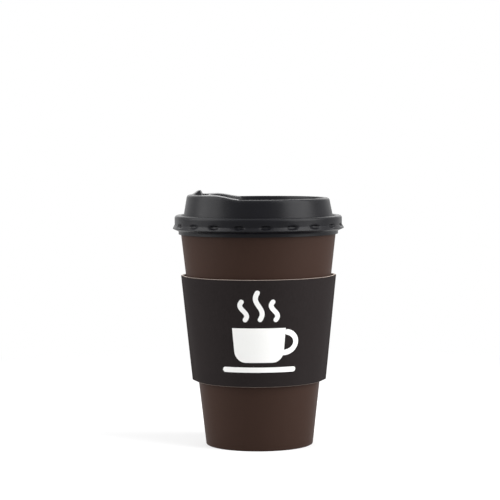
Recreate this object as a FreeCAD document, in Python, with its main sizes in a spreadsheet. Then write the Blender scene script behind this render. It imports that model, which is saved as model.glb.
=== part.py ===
import FreeCAD, Part
import os
import Sketcher
from FreeCAD import Placement, Rotation, Vector

# Paper cup for hot drinks: a rolled-rim paper cup, a folded board sleeve and a push-on sip lid.
# Millimetres. The origin is the centre of the cup's foot, +Z is up, the front is -Y and the
# mouthpiece of the lid is at -X.

os.makedirs("parts", exist_ok=True)
doc = FreeCAD.newDocument("hot_drink_cup")

SIZES = (
    # the cup: a tapered paper wall, a rolled rim, a folded foot and a base disc
    ("base_radius", 29.2, "outer radius of the cup wall at the table"),
    ("mouth_radius", 42.8, "inner radius of the cup at the top of its rim"),
    ("cup_height", 124.6, "top of the rolled rim"),
    ("cup_paper", 0.45, "paper of the cup wall"),
    ("base_paper", 0.4, "paper of the base disc"),
    ("rim_width", 2.0, "rolled rim, from the cup's mouth outward"),
    ("rim_depth", 2.1, "rolled rim, from its top down"),
    ("rim_bevel", 0.7, "bevels that round the rolled rim"),
    ("rim_tuck", 1.4, "how far the rolled paper runs back under the rim"),
    ("foot_fold", 7.0, "height of the wall paper folded up inside the foot"),
    ("base_recess", 8.0, "height of the base disc above the table"),
    ("skirt_foot", 0.5, "space under the skirt of the base disc"),
    ("glue_gap", 0.06, "space between papers that are glued together"),
    ("cup_lap", 20.0, "degrees over which the lapped edge of the wall stands proud"),
    ("cup_lap_place", 96.0, "direction of the wall's lapped edge, in degrees from +X"),
    ("lap_margin", 0.4, "end of a lapped edge short of the piece's own end"),
    # the sleeve: one folded board, opened out with a crease at each side
    ("sleeve_foot", 35.2, "lower edge of the sleeve"),
    ("sleeve_height", 57.5, "height of the sleeve"),
    ("sleeve_board", 1.3, "board of the sleeve"),
    ("sleeve_gap", 0.12, "space between the sleeve and the lapped edge of the wall"),
    ("crease_angle_foot", 17.3, "degrees from a crease to where the sleeve meets the cup, below"),
    ("crease_angle_top", 12.6, "degrees from a crease to where the sleeve meets the cup, above"),
    ("crease_root", 0.3, "how far the creased faces run into the round part of the sleeve"),
    ("sleeve_lap", 18.0, "degrees over which the glued lap of the sleeve stands proud"),
    ("sleeve_lap_place", 84.0, "direction of the sleeve's lapped edge, in degrees from +X"),
    # the lid: one thermoformed sheet, with its heights counted from the top of the rolled rim
    ("lid_sheet", 0.45, "sheet of the lid"),
    ("seat_gap", 0.1, "space between the lid and the top of the rolled rim"),
    ("rim_gap", 0.35, "space round the rolled rim inside the bead"),
    ("plug_gap", 0.15, "space between the lid's plug and the cup's mouth"),
    ("bead_bevel", 0.55, "bevel of the bead's outer edge"),
    ("flare_drop", 4.0, "rolled rim down to the bottom of the bead's upright wall"),
    ("flange_drop", 6.3, "rolled rim down to the edge of the flange"),
    ("flange_reach", 1.2, "how far the flange stands out from the bead"),
    ("lid_drop", 8.6, "rolled rim down to the lid's lower edge"),
    ("groove_drop", 1.8, "rolled rim down to the bottom of the groove between dome and bead"),
    ("groove_width", 0.9, "width of the groove at its bottom"),
    ("lid_rise", 10.0, "rolled rim up to the top of the lid's rim"),
    ("dome_lean", 2.4, "how far the dome wall leans in over its height"),
    ("shoulder_width", 1.5, "bevel of the lid rim's outer edge, inward"),
    ("shoulder_depth", 1.9, "bevel of the lid rim's outer edge, downward"),
    ("lid_rim_width", 2.75, "width of the lid's rim at its top, before the bevel"),
    ("lid_rim_draft", 1.5, "how far the rim's inner wall leans in down to the deck"),
    ("deck_rise", 3.0, "rolled rim up to the drinking deck"),
    # the mouthpiece: a raised pad in the rim, with a sip slot behind a drinking lip
    ("pad_rise", 2.0, "top of the mouthpiece pad above the lid's rim"),
    ("pad_width", 13.0, "width of the pad, in from the rim's outer edge"),
    ("pad_draft", 0.8, "slope of the pad's inner wall"),
    ("pad_edge_width", 1.0, "bevel of the pad's outer edge, inward"),
    ("pad_edge_depth", 1.2, "bevel of the pad's outer edge, downward"),
    ("pad_root", 2.0, "how far the pad runs in below the deck"),
    ("ramp_run", 12.6, "length of the ramp at each end of the pad, along X"),
    ("ramp_foot", 9.9, "distance of the ramp's foot from the middle of the lid"),
    ("ramp_sink", 0.35, "how far the ramp runs on past its foot"),
    ("ramp_end_slope", 1.6, "slope of the wall under the ramp's foot"),
    ("lip_inset", 5.85, "rim's outer edge in to the ridge of the drinking lip"),
    ("lip_rise", 2.3, "height of the drinking lip above the pad"),
    ("lip_outer_run", 2.4, "outer slope of the drinking lip"),
    ("lip_inner_run", 1.5, "inner slope of the drinking lip"),
    ("lip_crest", 0.9, "width of the drinking lip's ridge"),
    ("lip_sweep", 34.0, "degrees that the drinking lip runs round"),
    ("slot_inset", 10.05, "rim's outer edge in to the middle of the sip slot"),
    ("slot_length", 14.0, "length of the sip slot between its round ends"),
    ("slot_width", 3.6, "width of the sip slot"),
    ("vent_radius", 0.7, "radius of the vent hole"),
    ("vent_place", 24.0, "distance of the vent hole from the middle of the lid"),
    # the snap dents: short dents round the skirt that hold the lid under the rolled rim
    ("dent_count", 20, "dents round the skirt"),
    ("dent_phase", -85.0, "direction of the first dent, in degrees from +X"),
    ("dent_drop", 4.4, "rolled rim down to the middle of the dents"),
    ("dent_reach", 0.2, "space between the dents and the rolled rim, straight down"),
    ("dent_radius", 0.9, "radius of a dent's hollow"),
    ("dent_length", 4.6, "length of a dent along the skirt"),
)
sheet = doc.addObject("Spreadsheet::Sheet", "sizes")
for row, (alias, size, meaning) in enumerate(SIZES, start=1):
    sheet.set(f"A{row}", meaning)
    sheet.set(f"B{row}", str(size))
    sheet.setAlias(f"B{row}", alias)
doc.recompute()

# Lengths that follow from the sizes, as expressions that the model's objects are bound to.
BASE_INNER = "(sizes.base_radius - sizes.cup_paper)"
LEAN = f"((sizes.mouth_radius - {BASE_INNER}) / sizes.cup_height)"
RIM_RADIUS = "(sizes.mouth_radius + sizes.rim_width)"
FOOT_GAP = "(sizes.base_paper + 2 * sizes.glue_gap)"
SLEEVE_TOP = "(sizes.sleeve_foot + sizes.sleeve_height)"
BEAD_RADIUS = f"({RIM_RADIUS} + sizes.rim_gap + sizes.lid_sheet)"
BEAD_TOP = "(sizes.cup_height + sizes.seat_gap + sizes.lid_sheet)"
DECK = "(sizes.cup_height + sizes.deck_rise)"
GROOVE = "(sizes.cup_height - sizes.groove_drop)"
LID_TOP = "(sizes.cup_height + sizes.lid_rise)"
LID_FOOT = "(sizes.cup_height - sizes.lid_drop)"
PAD_TOP = f"({LID_TOP} + sizes.pad_rise)"
AXIS = Vector(0, 0, 1)
UPRIGHT = Placement(Vector(), Rotation(Vector(1, 0, 0), 90))


def wall_inside(height):
    """Radius of the cup wall's inner face at a height."""
    return f"({BASE_INNER} + {LEAN} * ({height}))"


def wall_outside(height):
    """Radius of the cup wall's outer face at a height."""
    return f"({wall_inside(height)} + sizes.cup_paper)"


def plug_inside(height):
    """Radius of the lid's plug on its hollow side: a sheet and a gap in from the cup's mouth."""
    return f"({wall_inside(height)} - sizes.plug_gap - sizes.lid_sheet)"


DOME_FOOT_RADIUS = f"({plug_inside(GROOVE)} - sizes.groove_width)"
SHOULDER_RADIUS = f"({DOME_FOOT_RADIUS} - sizes.dome_lean)"
LIP_RADIUS = f"({SHOULDER_RADIUS} - sizes.lip_inset)"


def dome_outside(height):
    """Radius of the lid's dome wall, carried on in a straight line, at a height."""
    return f"({SHOULDER_RADIUS} + sizes.dome_lean * ({LID_TOP} - ({height})) / ({LID_TOP} - {GROOVE}))"


def length_of(expression):
    """The present value of an expression."""
    value = sheet.evalExpression(str(expression))
    return float(getattr(value, "Value", value))


def add(kind, name, **bound):
    """Add an object and bind its properties to expressions."""
    made = doc.addObject(kind, name)
    for prop, expression in bound.items():
        made.setExpression(prop, str(expression))
    return made


def outline(name, corners, closed=True, place=UPRIGHT):
    """A path of straight runs; each corner is tied to its two distances from the origin."""
    sketch = doc.addObject("Sketcher::SketchObject", name)
    sketch.Placement = place
    points = [Vector(length_of(x), length_of(y), 0) for x, y in corners]
    count = len(corners)
    runs = count if closed else count - 1
    for i in range(runs):
        sketch.addGeometry(Part.LineSegment(points[i], points[(i + 1) % count]), False)
    for i in range(count if closed else count - 2):
        sketch.addConstraint(Sketcher.Constraint("Coincident", i, 2, (i + 1) % runs, 1))
    for i, (across, up) in enumerate(corners):
        run, end = (i, 1) if i < runs else (i - 1, 2)
        for kind, axis, expression in (("DistanceX", -2, across), ("DistanceY", -1, up)):
            if expression == "0":
                sketch.addConstraint(Sketcher.Constraint("PointOnObject", run, end, axis))
                continue
            size = length_of(expression)
            index = sketch.addConstraint(Sketcher.Constraint(kind, -1, 1, run, end, size))
            sketch.setExpression(f"Constraints[{index}]", expression)
    sketch.recompute()
    return sketch


def beside(name, path, distance):
    """A line beside another, at a distance: outward from a closed line, or below an open one."""
    line = add("Part::Offset2D", name, Value=distance)
    line.Source = path
    line.Mode = "Pipe"
    line.Join = "Intersection"
    return line


def sheet_of(name, path, thickness):
    """The section of a sheet whose seen side follows an open path."""
    section = beside(name, path, thickness)
    section.Mode = "Skin"
    section.Fill = True
    return section


def turned(name, section, sweep="360"):
    """A section turned about the upright axis."""
    solid = add("Part::Revolution", name, Angle=sweep)
    solid.Source = section
    solid.Axis = AXIS
    solid.Solid = True
    return solid


def cut(name, base, tool):
    """One solid less another."""
    made = doc.addObject("Part::Cut", name)
    made.Base = base
    made.Tool = tool
    return made


def joined(name, *shapes):
    """Solids joined into one."""
    made = doc.addObject("Part::MultiFuse", name)
    made.Shapes = list(shapes)
    return made


def lap(name, radius_at, foot, top, thickness, sweep, place):
    """The lapped edge of a rolled-up sheet: a wedge of a cone set over to one side.

    At the cut edge it stands a full thickness proud of the cone below it, and from there it
    sinks back to that cone over the sweep, because the two cones are equal and only their
    axes lie apart.
    """
    height = f"(({top}) - ({foot}))"
    over = add(
        "Part::Cone",
        f"{name}_over",
        Radius1=radius_at(foot),
        Radius2=radius_at(top),
        Height=height,
        Angle=f"{sweep} * 0.94",
    )
    shift = f"({thickness} / sin({sweep}))"
    turn = f"({place} + 90 - {sweep})"
    over.setExpression("Placement.Base.x", f"{shift} * cos({turn})")
    over.setExpression("Placement.Base.y", f"{shift} * sin({turn})")
    over.setExpression("Placement.Base.z", foot)
    over.Placement.Rotation = Rotation(AXIS, 1)
    over.setExpression("Placement.Rotation.Angle", f"{place} - {sweep} * 0.94")
    under = add(
        "Part::Cone",
        f"{name}_under",
        Radius1=f"{radius_at(foot + ' - 1')} - {thickness} / 2",
        Radius2=f"{radius_at(top + ' + 1')} - {thickness} / 2",
        Height=f"{height} + 2",
    )
    under.setExpression("Placement.Base.z", f"{foot} - 1")
    return cut(name, over, under)


# The cup wall is one sheet: rolled outward over the rim, down the wall, folded in and up again.
RIM_SHOULDER = "(sizes.cup_height - sizes.rim_bevel)"
wall_path = outline(
    "wall_path",
    [
        (f"{RIM_RADIUS} - sizes.rim_tuck", "sizes.cup_height - sizes.rim_depth"),
        (RIM_RADIUS, "sizes.cup_height - sizes.rim_depth"),
        (RIM_RADIUS, RIM_SHOULDER),
        (f"{RIM_RADIUS} - sizes.rim_bevel", "sizes.cup_height"),
        ("sizes.mouth_radius + sizes.rim_bevel", "sizes.cup_height"),
        (wall_inside(RIM_SHOULDER), RIM_SHOULDER),
        (wall_inside("sizes.cup_paper"), "sizes.cup_paper"),
        (f"{wall_inside('sizes.cup_paper')} - {FOOT_GAP}", "sizes.cup_paper"),
        (f"{wall_inside('sizes.foot_fold')} - {FOOT_GAP}", "sizes.foot_fold"),
    ],
    closed=False,
)
wall_section = sheet_of("wall_section", wall_path, "sizes.cup_paper")
wall = turned("wall", wall_section)
wall_lap = lap(
    "wall_lap",
    wall_outside,
    "(sizes.cup_paper + sizes.lap_margin)",
    "(sizes.cup_height - sizes.rim_depth - sizes.lap_margin)",
    "sizes.cup_paper",
    "sizes.cup_lap",
    "sizes.cup_lap_place",
)
cup_sidewall = joined("cup_sidewall", wall, wall_lap)

# The base is a disc whose edge turns down between the wall and its fold.
SKIRT_FOOT = "(sizes.cup_paper + sizes.skirt_foot)"
base_path = outline(
    "base_path",
    [
        (f"{wall_inside(SKIRT_FOOT)} - sizes.glue_gap", SKIRT_FOOT),
        (f"{wall_inside('sizes.base_recess')} - sizes.glue_gap", "sizes.base_recess"),
        ("0", "sizes.base_recess"),
    ],
    closed=False,
)
base_section = sheet_of("base_section", base_path, "sizes.base_paper")
cup_base = turned("cup_base", base_section)


def sleeve_inside(height):
    """Radius of the sleeve's inner face where it lies round the cup."""
    return f"({wall_outside(height)} + sizes.cup_paper + sizes.sleeve_gap)"


def sleeve_outside(height):
    """Radius of the sleeve's outer face where it lies round the cup."""
    return f"({sleeve_inside(height)} + sizes.sleeve_board)"


def straight_loft(name, *rings):
    """A solid of straight lines between two rings."""
    loft = doc.addObject("Part::Loft", name)
    loft.Sections = list(rings)
    loft.Solid = True
    loft.Ruled = True
    return loft


def creased(name, radius_at):
    """One face of the sleeve as a solid form: a cone, drawn out to a crease at each side.

    The board leaves the cone in straight lines that touch it, and they meet in the crease.
    """
    height = "sizes.sleeve_height"
    round_part = add(
        "Part::Cone",
        f"{name}_round",
        Radius1=radius_at("sizes.sleeve_foot"),
        Radius2=radius_at(SLEEVE_TOP),
        Height=height,
    )
    round_part.setExpression("Placement.Base.z", "sizes.sleeve_foot")
    forms = [round_part]
    for side, way in (("right", ""), ("left", "-")):
        rings = []
        for end, place in (("foot", "sizes.sleeve_foot"), ("top", SLEEVE_TOP)):
            angle = f"sizes.crease_angle_{end}"
            root = f"({radius_at(place)} - sizes.crease_root)"
            ring = outline(
                f"{name}_{side}_{end}",
                [
                    (f"{way}{radius_at(place)} / cos({angle})", "0"),
                    (f"{way}{root} * cos({angle})", f"{root} * sin({angle})"),
                    (f"{way}{root} * cos({angle})", f"-{root} * sin({angle})"),
                ],
                place=Placement(),
            )
            ring.setExpression("Placement.Base.z", place)
            rings.append(ring)
        forms.append(straight_loft(f"{name}_{side}", *rings))
    return joined(f"{name}_form", *forms)


sleeve_body = cut("sleeve_body", creased("sleeve_outer", sleeve_outside), creased("sleeve_inner", sleeve_inside))
sleeve_lap = lap(
    "sleeve_lap",
    sleeve_outside,
    "sizes.sleeve_foot",
    SLEEVE_TOP,
    "sizes.sleeve_board",
    "sizes.sleeve_lap",
    "sizes.sleeve_lap_place",
)
sleeve = joined("sleeve", sleeve_body, sleeve_lap)

# The lid's skin, from the edge of the deck over the rim and the bead to the edge of the flange.
CREST_RADIUS = f"({SHOULDER_RADIUS} - sizes.lid_rim_width)"
SHOULDER_FOOT = f"({LID_TOP} - sizes.shoulder_depth)"
FLARE = "(sizes.cup_height - sizes.flare_drop)"
FLANGE = "(sizes.cup_height - sizes.flange_drop)"
SKIN = [
    (f"{CREST_RADIUS} - sizes.lid_rim_draft", DECK),
    (CREST_RADIUS, LID_TOP),
    (f"{SHOULDER_RADIUS} - sizes.shoulder_width", LID_TOP),
    (dome_outside(SHOULDER_FOOT), SHOULDER_FOOT),
    (DOME_FOOT_RADIUS, GROOVE),
    (plug_inside(GROOVE), GROOVE),
    (plug_inside(BEAD_TOP), BEAD_TOP),
    (f"{BEAD_RADIUS} - sizes.bead_bevel", BEAD_TOP),
    (BEAD_RADIUS, f"{BEAD_TOP} - sizes.bead_bevel"),
    (BEAD_RADIUS, FLARE),
    (f"{BEAD_RADIUS} + sizes.flange_reach", FLANGE),
]


def under_skin(name, middle, foot_radius, foot):
    """The section of all that lies under the skin, from a middle line out to a foot corner."""
    return outline(name, [(middle, foot), (middle, DECK), *SKIN, (foot_radius, foot)])


skin_section = under_skin("skin_section", "0", BEAD_RADIUS, LID_FOOT)


def grown_in(name, section):
    """A closed section drawn in by the thickness of the lid's sheet."""
    return beside(name, section, "-sizes.lid_sheet")


# The hollow's section runs on past the axis and on down the flange's slope, so that drawing it
# in leaves the lid open below.
RUN_ON = f"({LID_FOOT} - ({FLANGE} - {LID_FOOT}))"
hollow_line = under_skin(
    "hollow_line", "-sizes.lid_sheet", f"{BEAD_RADIUS} - sizes.flange_reach", RUN_ON
)
hollow_section = grown_in("hollow_section", hollow_line)


PAD_FOOT = f"({DECK} - sizes.pad_root)"
PAD_EDGE_FOOT = f"({PAD_TOP} - sizes.pad_edge_depth)"
PAD_RADIUS = f"({SHOULDER_RADIUS} - sizes.pad_width)"
pad_section = outline(
    "pad_section",
    [
        (f"{PAD_RADIUS} - sizes.pad_draft", PAD_FOOT),
        (dome_outside(PAD_FOOT), PAD_FOOT),
        (dome_outside(PAD_EDGE_FOOT), PAD_EDGE_FOOT),
        (f"{dome_outside(PAD_TOP)} - sizes.pad_edge_width", PAD_TOP),
        (PAD_RADIUS, PAD_TOP),
    ],
)
RAMP_SLOPE = "(sizes.pad_rise / sizes.ramp_run)"
RAMP_END = "(sizes.ramp_sink - sizes.ramp_foot)"
BEYOND = f"({BEAD_RADIUS} + sizes.ramp_run)"
ramp_section = outline(
    "ramp_section",
    [
        (RAMP_END, f"{LID_TOP} - {RAMP_SLOPE} * sizes.ramp_sink"),
        (f"-{BEYOND}", f"{LID_TOP} + {RAMP_SLOPE} * ({BEYOND} - sizes.ramp_foot)"),
        (f"-{BEYOND}", f"{PAD_FOOT} - sizes.pad_root"),
        (f"{RAMP_END} + sizes.ramp_end_slope", f"{PAD_FOOT} - sizes.pad_root"),
    ],
)
LIP_FOOT = f"({PAD_TOP} - 2 * sizes.lid_sheet)"
LIP_TOP = f"({PAD_TOP} + sizes.lip_rise)"
lip_section = outline(
    "lip_section",
    [
        (f"{LIP_RADIUS} - sizes.lip_inner_run", LIP_FOOT),
        (f"{LIP_RADIUS} + sizes.lip_outer_run", LIP_FOOT),
        (f"{LIP_RADIUS} + sizes.lip_crest / 2", LIP_TOP),
        (f"{LIP_RADIUS} - sizes.lip_crest / 2", LIP_TOP),
    ],
)


def slab(name, section):
    """A section carried straight through the lid, along Y."""
    made = add("Part::Extrusion", name, LengthFwd=BEYOND, LengthRev=BEYOND)
    made.Base = section
    made.DirMode = "Custom"
    made.Dir = Vector(0, 1, 0)
    made.Solid = True
    return made


def common(name, *shapes):
    """What solids share."""
    made = doc.addObject("Part::MultiCommon", name)
    made.Shapes = list(shapes)
    return made


def dents(name, extra):
    """The ring of snap dents: short six-sided bars pressed in along the skirt, grown by extra."""
    corner = "(1 / cos(30))"
    # The grown dent stops short of the rolled rim by the named space.
    away = f"({RIM_RADIUS} + sizes.dent_reach + (sizes.dent_radius + sizes.lid_sheet) * {corner})"
    half = f"(sizes.dent_length / 2 + {extra})"
    ring = []
    for index in range(round(length_of("sizes.dent_count"))):
        dent = add(
            "Part::Prism",
            f"{name}_{index}",
            Circumradius=f"(sizes.dent_radius + {extra}) * {corner}",
            Height=f"2 * {half}",
        )
        dent.Polygon = 6
        turn = f"(sizes.dent_phase + 360 * {index} / sizes.dent_count)"
        dent.setExpression("Placement.Base.x", f"{away} * cos({turn}) + {half} * sin({turn})")
        dent.setExpression("Placement.Base.y", f"{away} * sin({turn}) - {half} * cos({turn})")
        dent.setExpression("Placement.Base.z", "sizes.cup_height - sizes.dent_drop")
        dent.Placement.Rotation = Rotation(AXIS, length_of(turn)) * Rotation(Vector(1, 0, 0), -90)
        ring.append(dent)
    return joined(name, *ring)


def lid_form(name, skin, pad, ramp, lip, sweep, dent_extra):
    """The lid's form at one face of its sheet: skin, mouthpiece pad and lip, less the dents."""
    skin_form = turned(f"{name}_skin", skin)
    pad_form = common(f"{name}_pad", turned(f"{name}_ring", pad), slab(f"{name}_ramp", ramp))
    lip_form = turned(f"{name}_lip", lip, sweep)
    lip_form.Placement.Rotation = Rotation(AXIS, 1)
    lip_form.setExpression("Placement.Rotation.Angle", f"180 - ({sweep}) / 2")
    whole = joined(f"{name}_whole", skin_form, pad_form, lip_form)
    return cut(name, whole, dents(f"{name}_dents", dent_extra))


lid_outside = lid_form(
    "lid_outside", skin_section, pad_section, ramp_section, lip_section, "sizes.lip_sweep", "0"
)
# The hollow of the lip is shorter than the lip by a sheet at each end, as an angle.
HOLLOW_SWEEP = f"(sizes.lip_sweep - 2 * 180 / pi * sizes.lid_sheet / {LIP_RADIUS})"
lid_hollow = lid_form(
    "lid_hollow",
    hollow_section,
    grown_in("pad_hollow_section", pad_section),
    grown_in("ramp_hollow_section", ramp_section),
    grown_in("lip_hollow_section", lip_section),
    HOLLOW_SWEEP,
    "sizes.lid_sheet",
)
lid_shell = cut("lid_shell", lid_outside, lid_hollow)

# The sip slot and the vent go right through the sheet.
OPENING_FOOT = f"({DECK} - sizes.deck_rise)"
OPENING_HEIGHT = f"({PAD_TOP} + sizes.lip_rise - {OPENING_FOOT})"
SLOT_RADIUS = f"({SHOULDER_RADIUS} - sizes.slot_inset)"
slot_middle = add(
    "Part::Box",
    "slot_middle",
    Length="sizes.slot_width",
    Width="sizes.slot_length",
    Height=OPENING_HEIGHT,
)
slot_middle.setExpression("Placement.Base.x", f"-{SLOT_RADIUS} - sizes.slot_width / 2")
slot_middle.setExpression("Placement.Base.y", "-sizes.slot_length / 2")
slot_middle.setExpression("Placement.Base.z", OPENING_FOOT)
openings = [slot_middle]
for name, radius, across, along in (
    ("slot_end_a", "sizes.slot_width / 2", f"-{SLOT_RADIUS}", "-sizes.slot_length / 2"),
    ("slot_end_b", "sizes.slot_width / 2", f"-{SLOT_RADIUS}", "sizes.slot_length / 2"),
    ("vent", "sizes.vent_radius", "sizes.vent_place", "0"),
):
    hole = add("Part::Cylinder", name, Radius=radius, Height=OPENING_HEIGHT)
    hole.setExpression("Placement.Base.x", across)
    hole.setExpression("Placement.Base.y", along)
    hole.setExpression("Placement.Base.z", OPENING_FOOT)
    openings.append(hole)
lid = cut("lid", lid_shell, joined("lid_openings", *openings))

doc.recompute()

# Every object must have been made, and every piece must be one valid solid.
for thing in doc.Objects:
    if "Invalid" in thing.State or "Error" in thing.State:
        raise RuntimeError(f"{thing.Name} failed: {thing.State}")
for piece, label in (
    (cup_sidewall, "cup_sidewall"),
    (cup_base, "cup_base"),
    (sleeve, "sleeve"),
    (lid, "lid"),
):
    piece.Label = label
    shape = piece.Shape
    if shape.isNull() or not shape.isValid() or len(shape.Solids) != 1:
        raise RuntimeError(f"{label} is not one valid solid")
    shape.exportStep(f"parts/{label}.step")
    box = shape.BoundBox
    print(f"{label}: {shape.Volume:.1f} mm3, z {box.ZMin:.2f} to {box.ZMax:.2f}, x to {box.XMax:.2f}")
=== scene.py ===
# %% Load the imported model
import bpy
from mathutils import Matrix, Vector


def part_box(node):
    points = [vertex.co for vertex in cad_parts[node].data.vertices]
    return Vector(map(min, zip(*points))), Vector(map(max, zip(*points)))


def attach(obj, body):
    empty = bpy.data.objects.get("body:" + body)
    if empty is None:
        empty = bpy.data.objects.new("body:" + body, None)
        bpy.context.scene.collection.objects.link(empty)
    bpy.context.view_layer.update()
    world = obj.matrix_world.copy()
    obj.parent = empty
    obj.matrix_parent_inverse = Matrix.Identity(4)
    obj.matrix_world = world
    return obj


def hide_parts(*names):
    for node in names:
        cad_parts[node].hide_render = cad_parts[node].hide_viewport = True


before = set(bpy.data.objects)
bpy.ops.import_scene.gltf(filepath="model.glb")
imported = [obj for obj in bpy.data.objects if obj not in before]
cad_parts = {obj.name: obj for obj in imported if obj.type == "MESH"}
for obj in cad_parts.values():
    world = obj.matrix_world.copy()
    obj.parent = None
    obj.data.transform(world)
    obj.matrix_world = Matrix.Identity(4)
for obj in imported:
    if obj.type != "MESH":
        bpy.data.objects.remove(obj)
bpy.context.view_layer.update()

# %% [markdown]
# A paper cup for hot drinks
#
# The object is a tapered paper cup with a folded board sleeve and a black push-on lid. Every part of
# it is a thin sheet: paper that is rolled up, board that is folded flat and opened out, plastic that
# is pressed over a mould. So every part is made here in the same way. A line is drawn as the section
# of the sheet, it is carried once round the upright axis, and the sheet gets its thickness.
#
# The sizes of the pieces are written in millimetres, as a maker would write them, and become metres
# in one place. Lamps, the camera and the depth of a bump are in metres from the start.

# %% Libraries and the unit
import math

import bmesh
import bpy
import numpy as np
from mathutils import Matrix

MM = 0.001
print("one millimetre is", MM, "metres")

# %% [markdown]
# The driving sizes
#
# The cup decides the size of everything that fits on it, so its main sizes come first. They repeat
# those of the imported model, and so do the sizes in the later cells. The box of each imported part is
# printed beside them, so a difference shows at once.

# %% Driving sizes
CUP_HEIGHT = 124.6
FOOT_RADIUS = 28.75
MOUTH_RADIUS = 42.8
PAPER = 0.45


def wall_radius(height):
    """Radius of the cup's inner face: it grows in a straight line from the foot to the mouth."""
    return FOOT_RADIUS + (MOUTH_RADIUS - FOOT_RADIUS) * height / CUP_HEIGHT


for node in sorted(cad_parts):
    low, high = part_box(node)
    print(node, "z", round(low.z / MM, 2), "to", round(high.z / MM, 2), "x to", round(high.x / MM, 2))

# %% [markdown]
# From numbers to a mesh
#
# A piece here is a grid of points: one direction runs along the sheet's section and the other runs
# round the axis. Blender takes such a grid fastest when whole arrays are handed over at once, so no
# point is visited by itself. The same function measures the volume that the faces enclose. If it is
# negative, the faces point inwards, and their order is turned round.

# %% Grid and mesh helpers
def grid_quads(rows, columns, rows_meet=False):
    """Faces of a grid whose point in a row and a column has the number row * columns + column.
    Each face joins four neighbours. The last column always joins the first, as round an axis, and
    the last row joins the first only where rows_meet is true."""
    row, column = np.meshgrid(
        np.arange(rows if rows_meet else rows - 1), np.arange(columns), indexing="ij"
    )
    next_row, next_column = (row + 1) % rows, (column + 1) % columns
    corners = [
        row * columns + column,
        row * columns + next_column,
        next_row * columns + next_column,
        next_row * columns + column,
    ]
    return np.stack(corners, axis=-1).reshape(-1, 4)


def fan(pole, first, columns):
    """Triangles from one point at the axis to the ring of points that starts at first."""
    column = np.arange(columns)
    return np.stack([np.full(columns, pole), first + column, first + (column + 1) % columns], axis=-1)


def enclosed(points, faces):
    """Volume inside the faces: a sixth of the sum of a . (b x c) over their triangles."""
    total = 0.0
    for k in range(2, faces.shape[1]):
        a, b, c = points[faces[:, 0]], points[faces[:, k - 1]], points[faces[:, k]]
        total += np.einsum("ij,ij->", a, np.cross(b, c)) / 6
    return total


def make_piece(name, points, groups, sharp=35.0):
    """A mesh object from points in millimetres and groups of faces with as many corners each."""
    groups = [group for group in groups if len(group)]
    volume = sum(enclosed(points, group) for group in groups)
    if volume < 0:
        groups = [group[:, ::-1] for group in groups]
    mesh = bpy.data.meshes.new(name)
    corners = np.concatenate([group.ravel() for group in groups])
    totals = np.concatenate([np.full(len(group), group.shape[1]) for group in groups])
    mesh.vertices.add(len(points))
    mesh.vertices.foreach_set("co", (points * MM).astype(np.float32).ravel())
    mesh.loops.add(len(corners))
    mesh.loops.foreach_set("vertex_index", corners.astype(np.int32))
    mesh.polygons.add(len(totals))
    mesh.polygons.foreach_set("loop_start", (np.cumsum(totals) - totals).astype(np.int32))
    mesh.polygons.foreach_set("use_smooth", np.ones(len(totals), bool))
    mesh.update(calc_edges=True)
    mesh.validate()
    mesh.set_sharp_from_angle(angle=math.radians(sharp))
    piece = bpy.data.objects.new(name, mesh)
    bpy.context.scene.collection.objects.link(piece)
    print(f"{name}: {len(points)} points, {len(totals)} faces, {abs(volume):.0f} mm3")
    return piece


def paint(piece, name, values):
    """Keeps one number a point on the mesh, for its material to read."""
    attribute = piece.data.attributes.new(name, "FLOAT", "POINT")
    attribute.data.foreach_set("value", values.astype(np.float32))


print("a closed grid of 3 rows and 4 columns has", len(grid_quads(3, 4)), "faces")

# %% [markdown]
# Sections with round corners
#
# No sheet has a sharp corner: paper rolls over a former and plastic stretches over a mould. A
# section is written as a short list of corners, each with the radius of its bend. The bend is an arc
# that touches both runs. It starts at a distance of radius / tan(half the corner's angle) from the
# corner, and between its two ends the arc's centre is used to swing through equal angles.

# %% Section helper
BEND_STEP = 14.0
BEND_LEAST = 3


def section(corners):
    """Points along a path. Each corner is (radius from the axis, height, bend, steps on the run
    after it). The bend is an arc that touches both runs, and a bend of 0 keeps the bare corner;
    the steps divide the run evenly."""
    spots = np.array([corner[:2] for corner in corners], float)
    path = []
    leave = spots[0]
    for i in range(1, len(corners)):
        steps, bend = corners[i - 1][3], corners[i][2]
        if bend:
            back, ahead = spots[i - 1] - spots[i], spots[i + 1] - spots[i]
            back, ahead = back / np.hypot(*back), ahead / np.hypot(*ahead)
            half = math.acos(float(np.clip(back @ ahead, -1, 1))) / 2
            reach = bend / math.tan(half)
            start, end = spots[i] + back * reach, spots[i] + ahead * reach
        else:
            start = end = spots[i]
        share = np.linspace(0, 1, steps, endpoint=False)[:, None]
        path.append(leave + (start - leave) * share)
        if bend:
            middle = spots[i] + (back + ahead) / np.hypot(*(back + ahead)) * bend / math.sin(half)
            turn = np.pi - 2 * half
            count = max(BEND_LEAST, round(math.degrees(turn) / BEND_STEP))
            swing = np.linspace(0, 1, count, endpoint=False)[:, None]
            from_middle, to_middle = start - middle, end - middle
            weight = np.sin((1 - swing) * turn), np.sin(swing * turn)
            path.append(middle + (weight[0] * from_middle + weight[1] * to_middle) / math.sin(turn))
        leave = end
    path.append(spots[-1:])
    return np.concatenate(path)


def side_of(path, distance):
    """A path beside another one. Each point moves along the normal of the line through its two
    neighbours: to the right of the way that the path runs for a positive distance."""
    way = np.gradient(path, axis=0)
    way /= np.hypot(way[:, 0], way[:, 1])[:, None]
    return path + distance * np.stack([way[:, 1], -way[:, 0]], axis=-1)


def about_axis(path, angles):
    """A path carried round the axis: x = r cos a, y = r sin a, z = height, for every angle a."""
    radius, height = path[:, 0, None], path[:, 1, None]
    flat = np.ones_like(angles)[None, :]
    return np.stack([radius * np.cos(angles), radius * np.sin(angles), height * flat], axis=-1)


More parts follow.
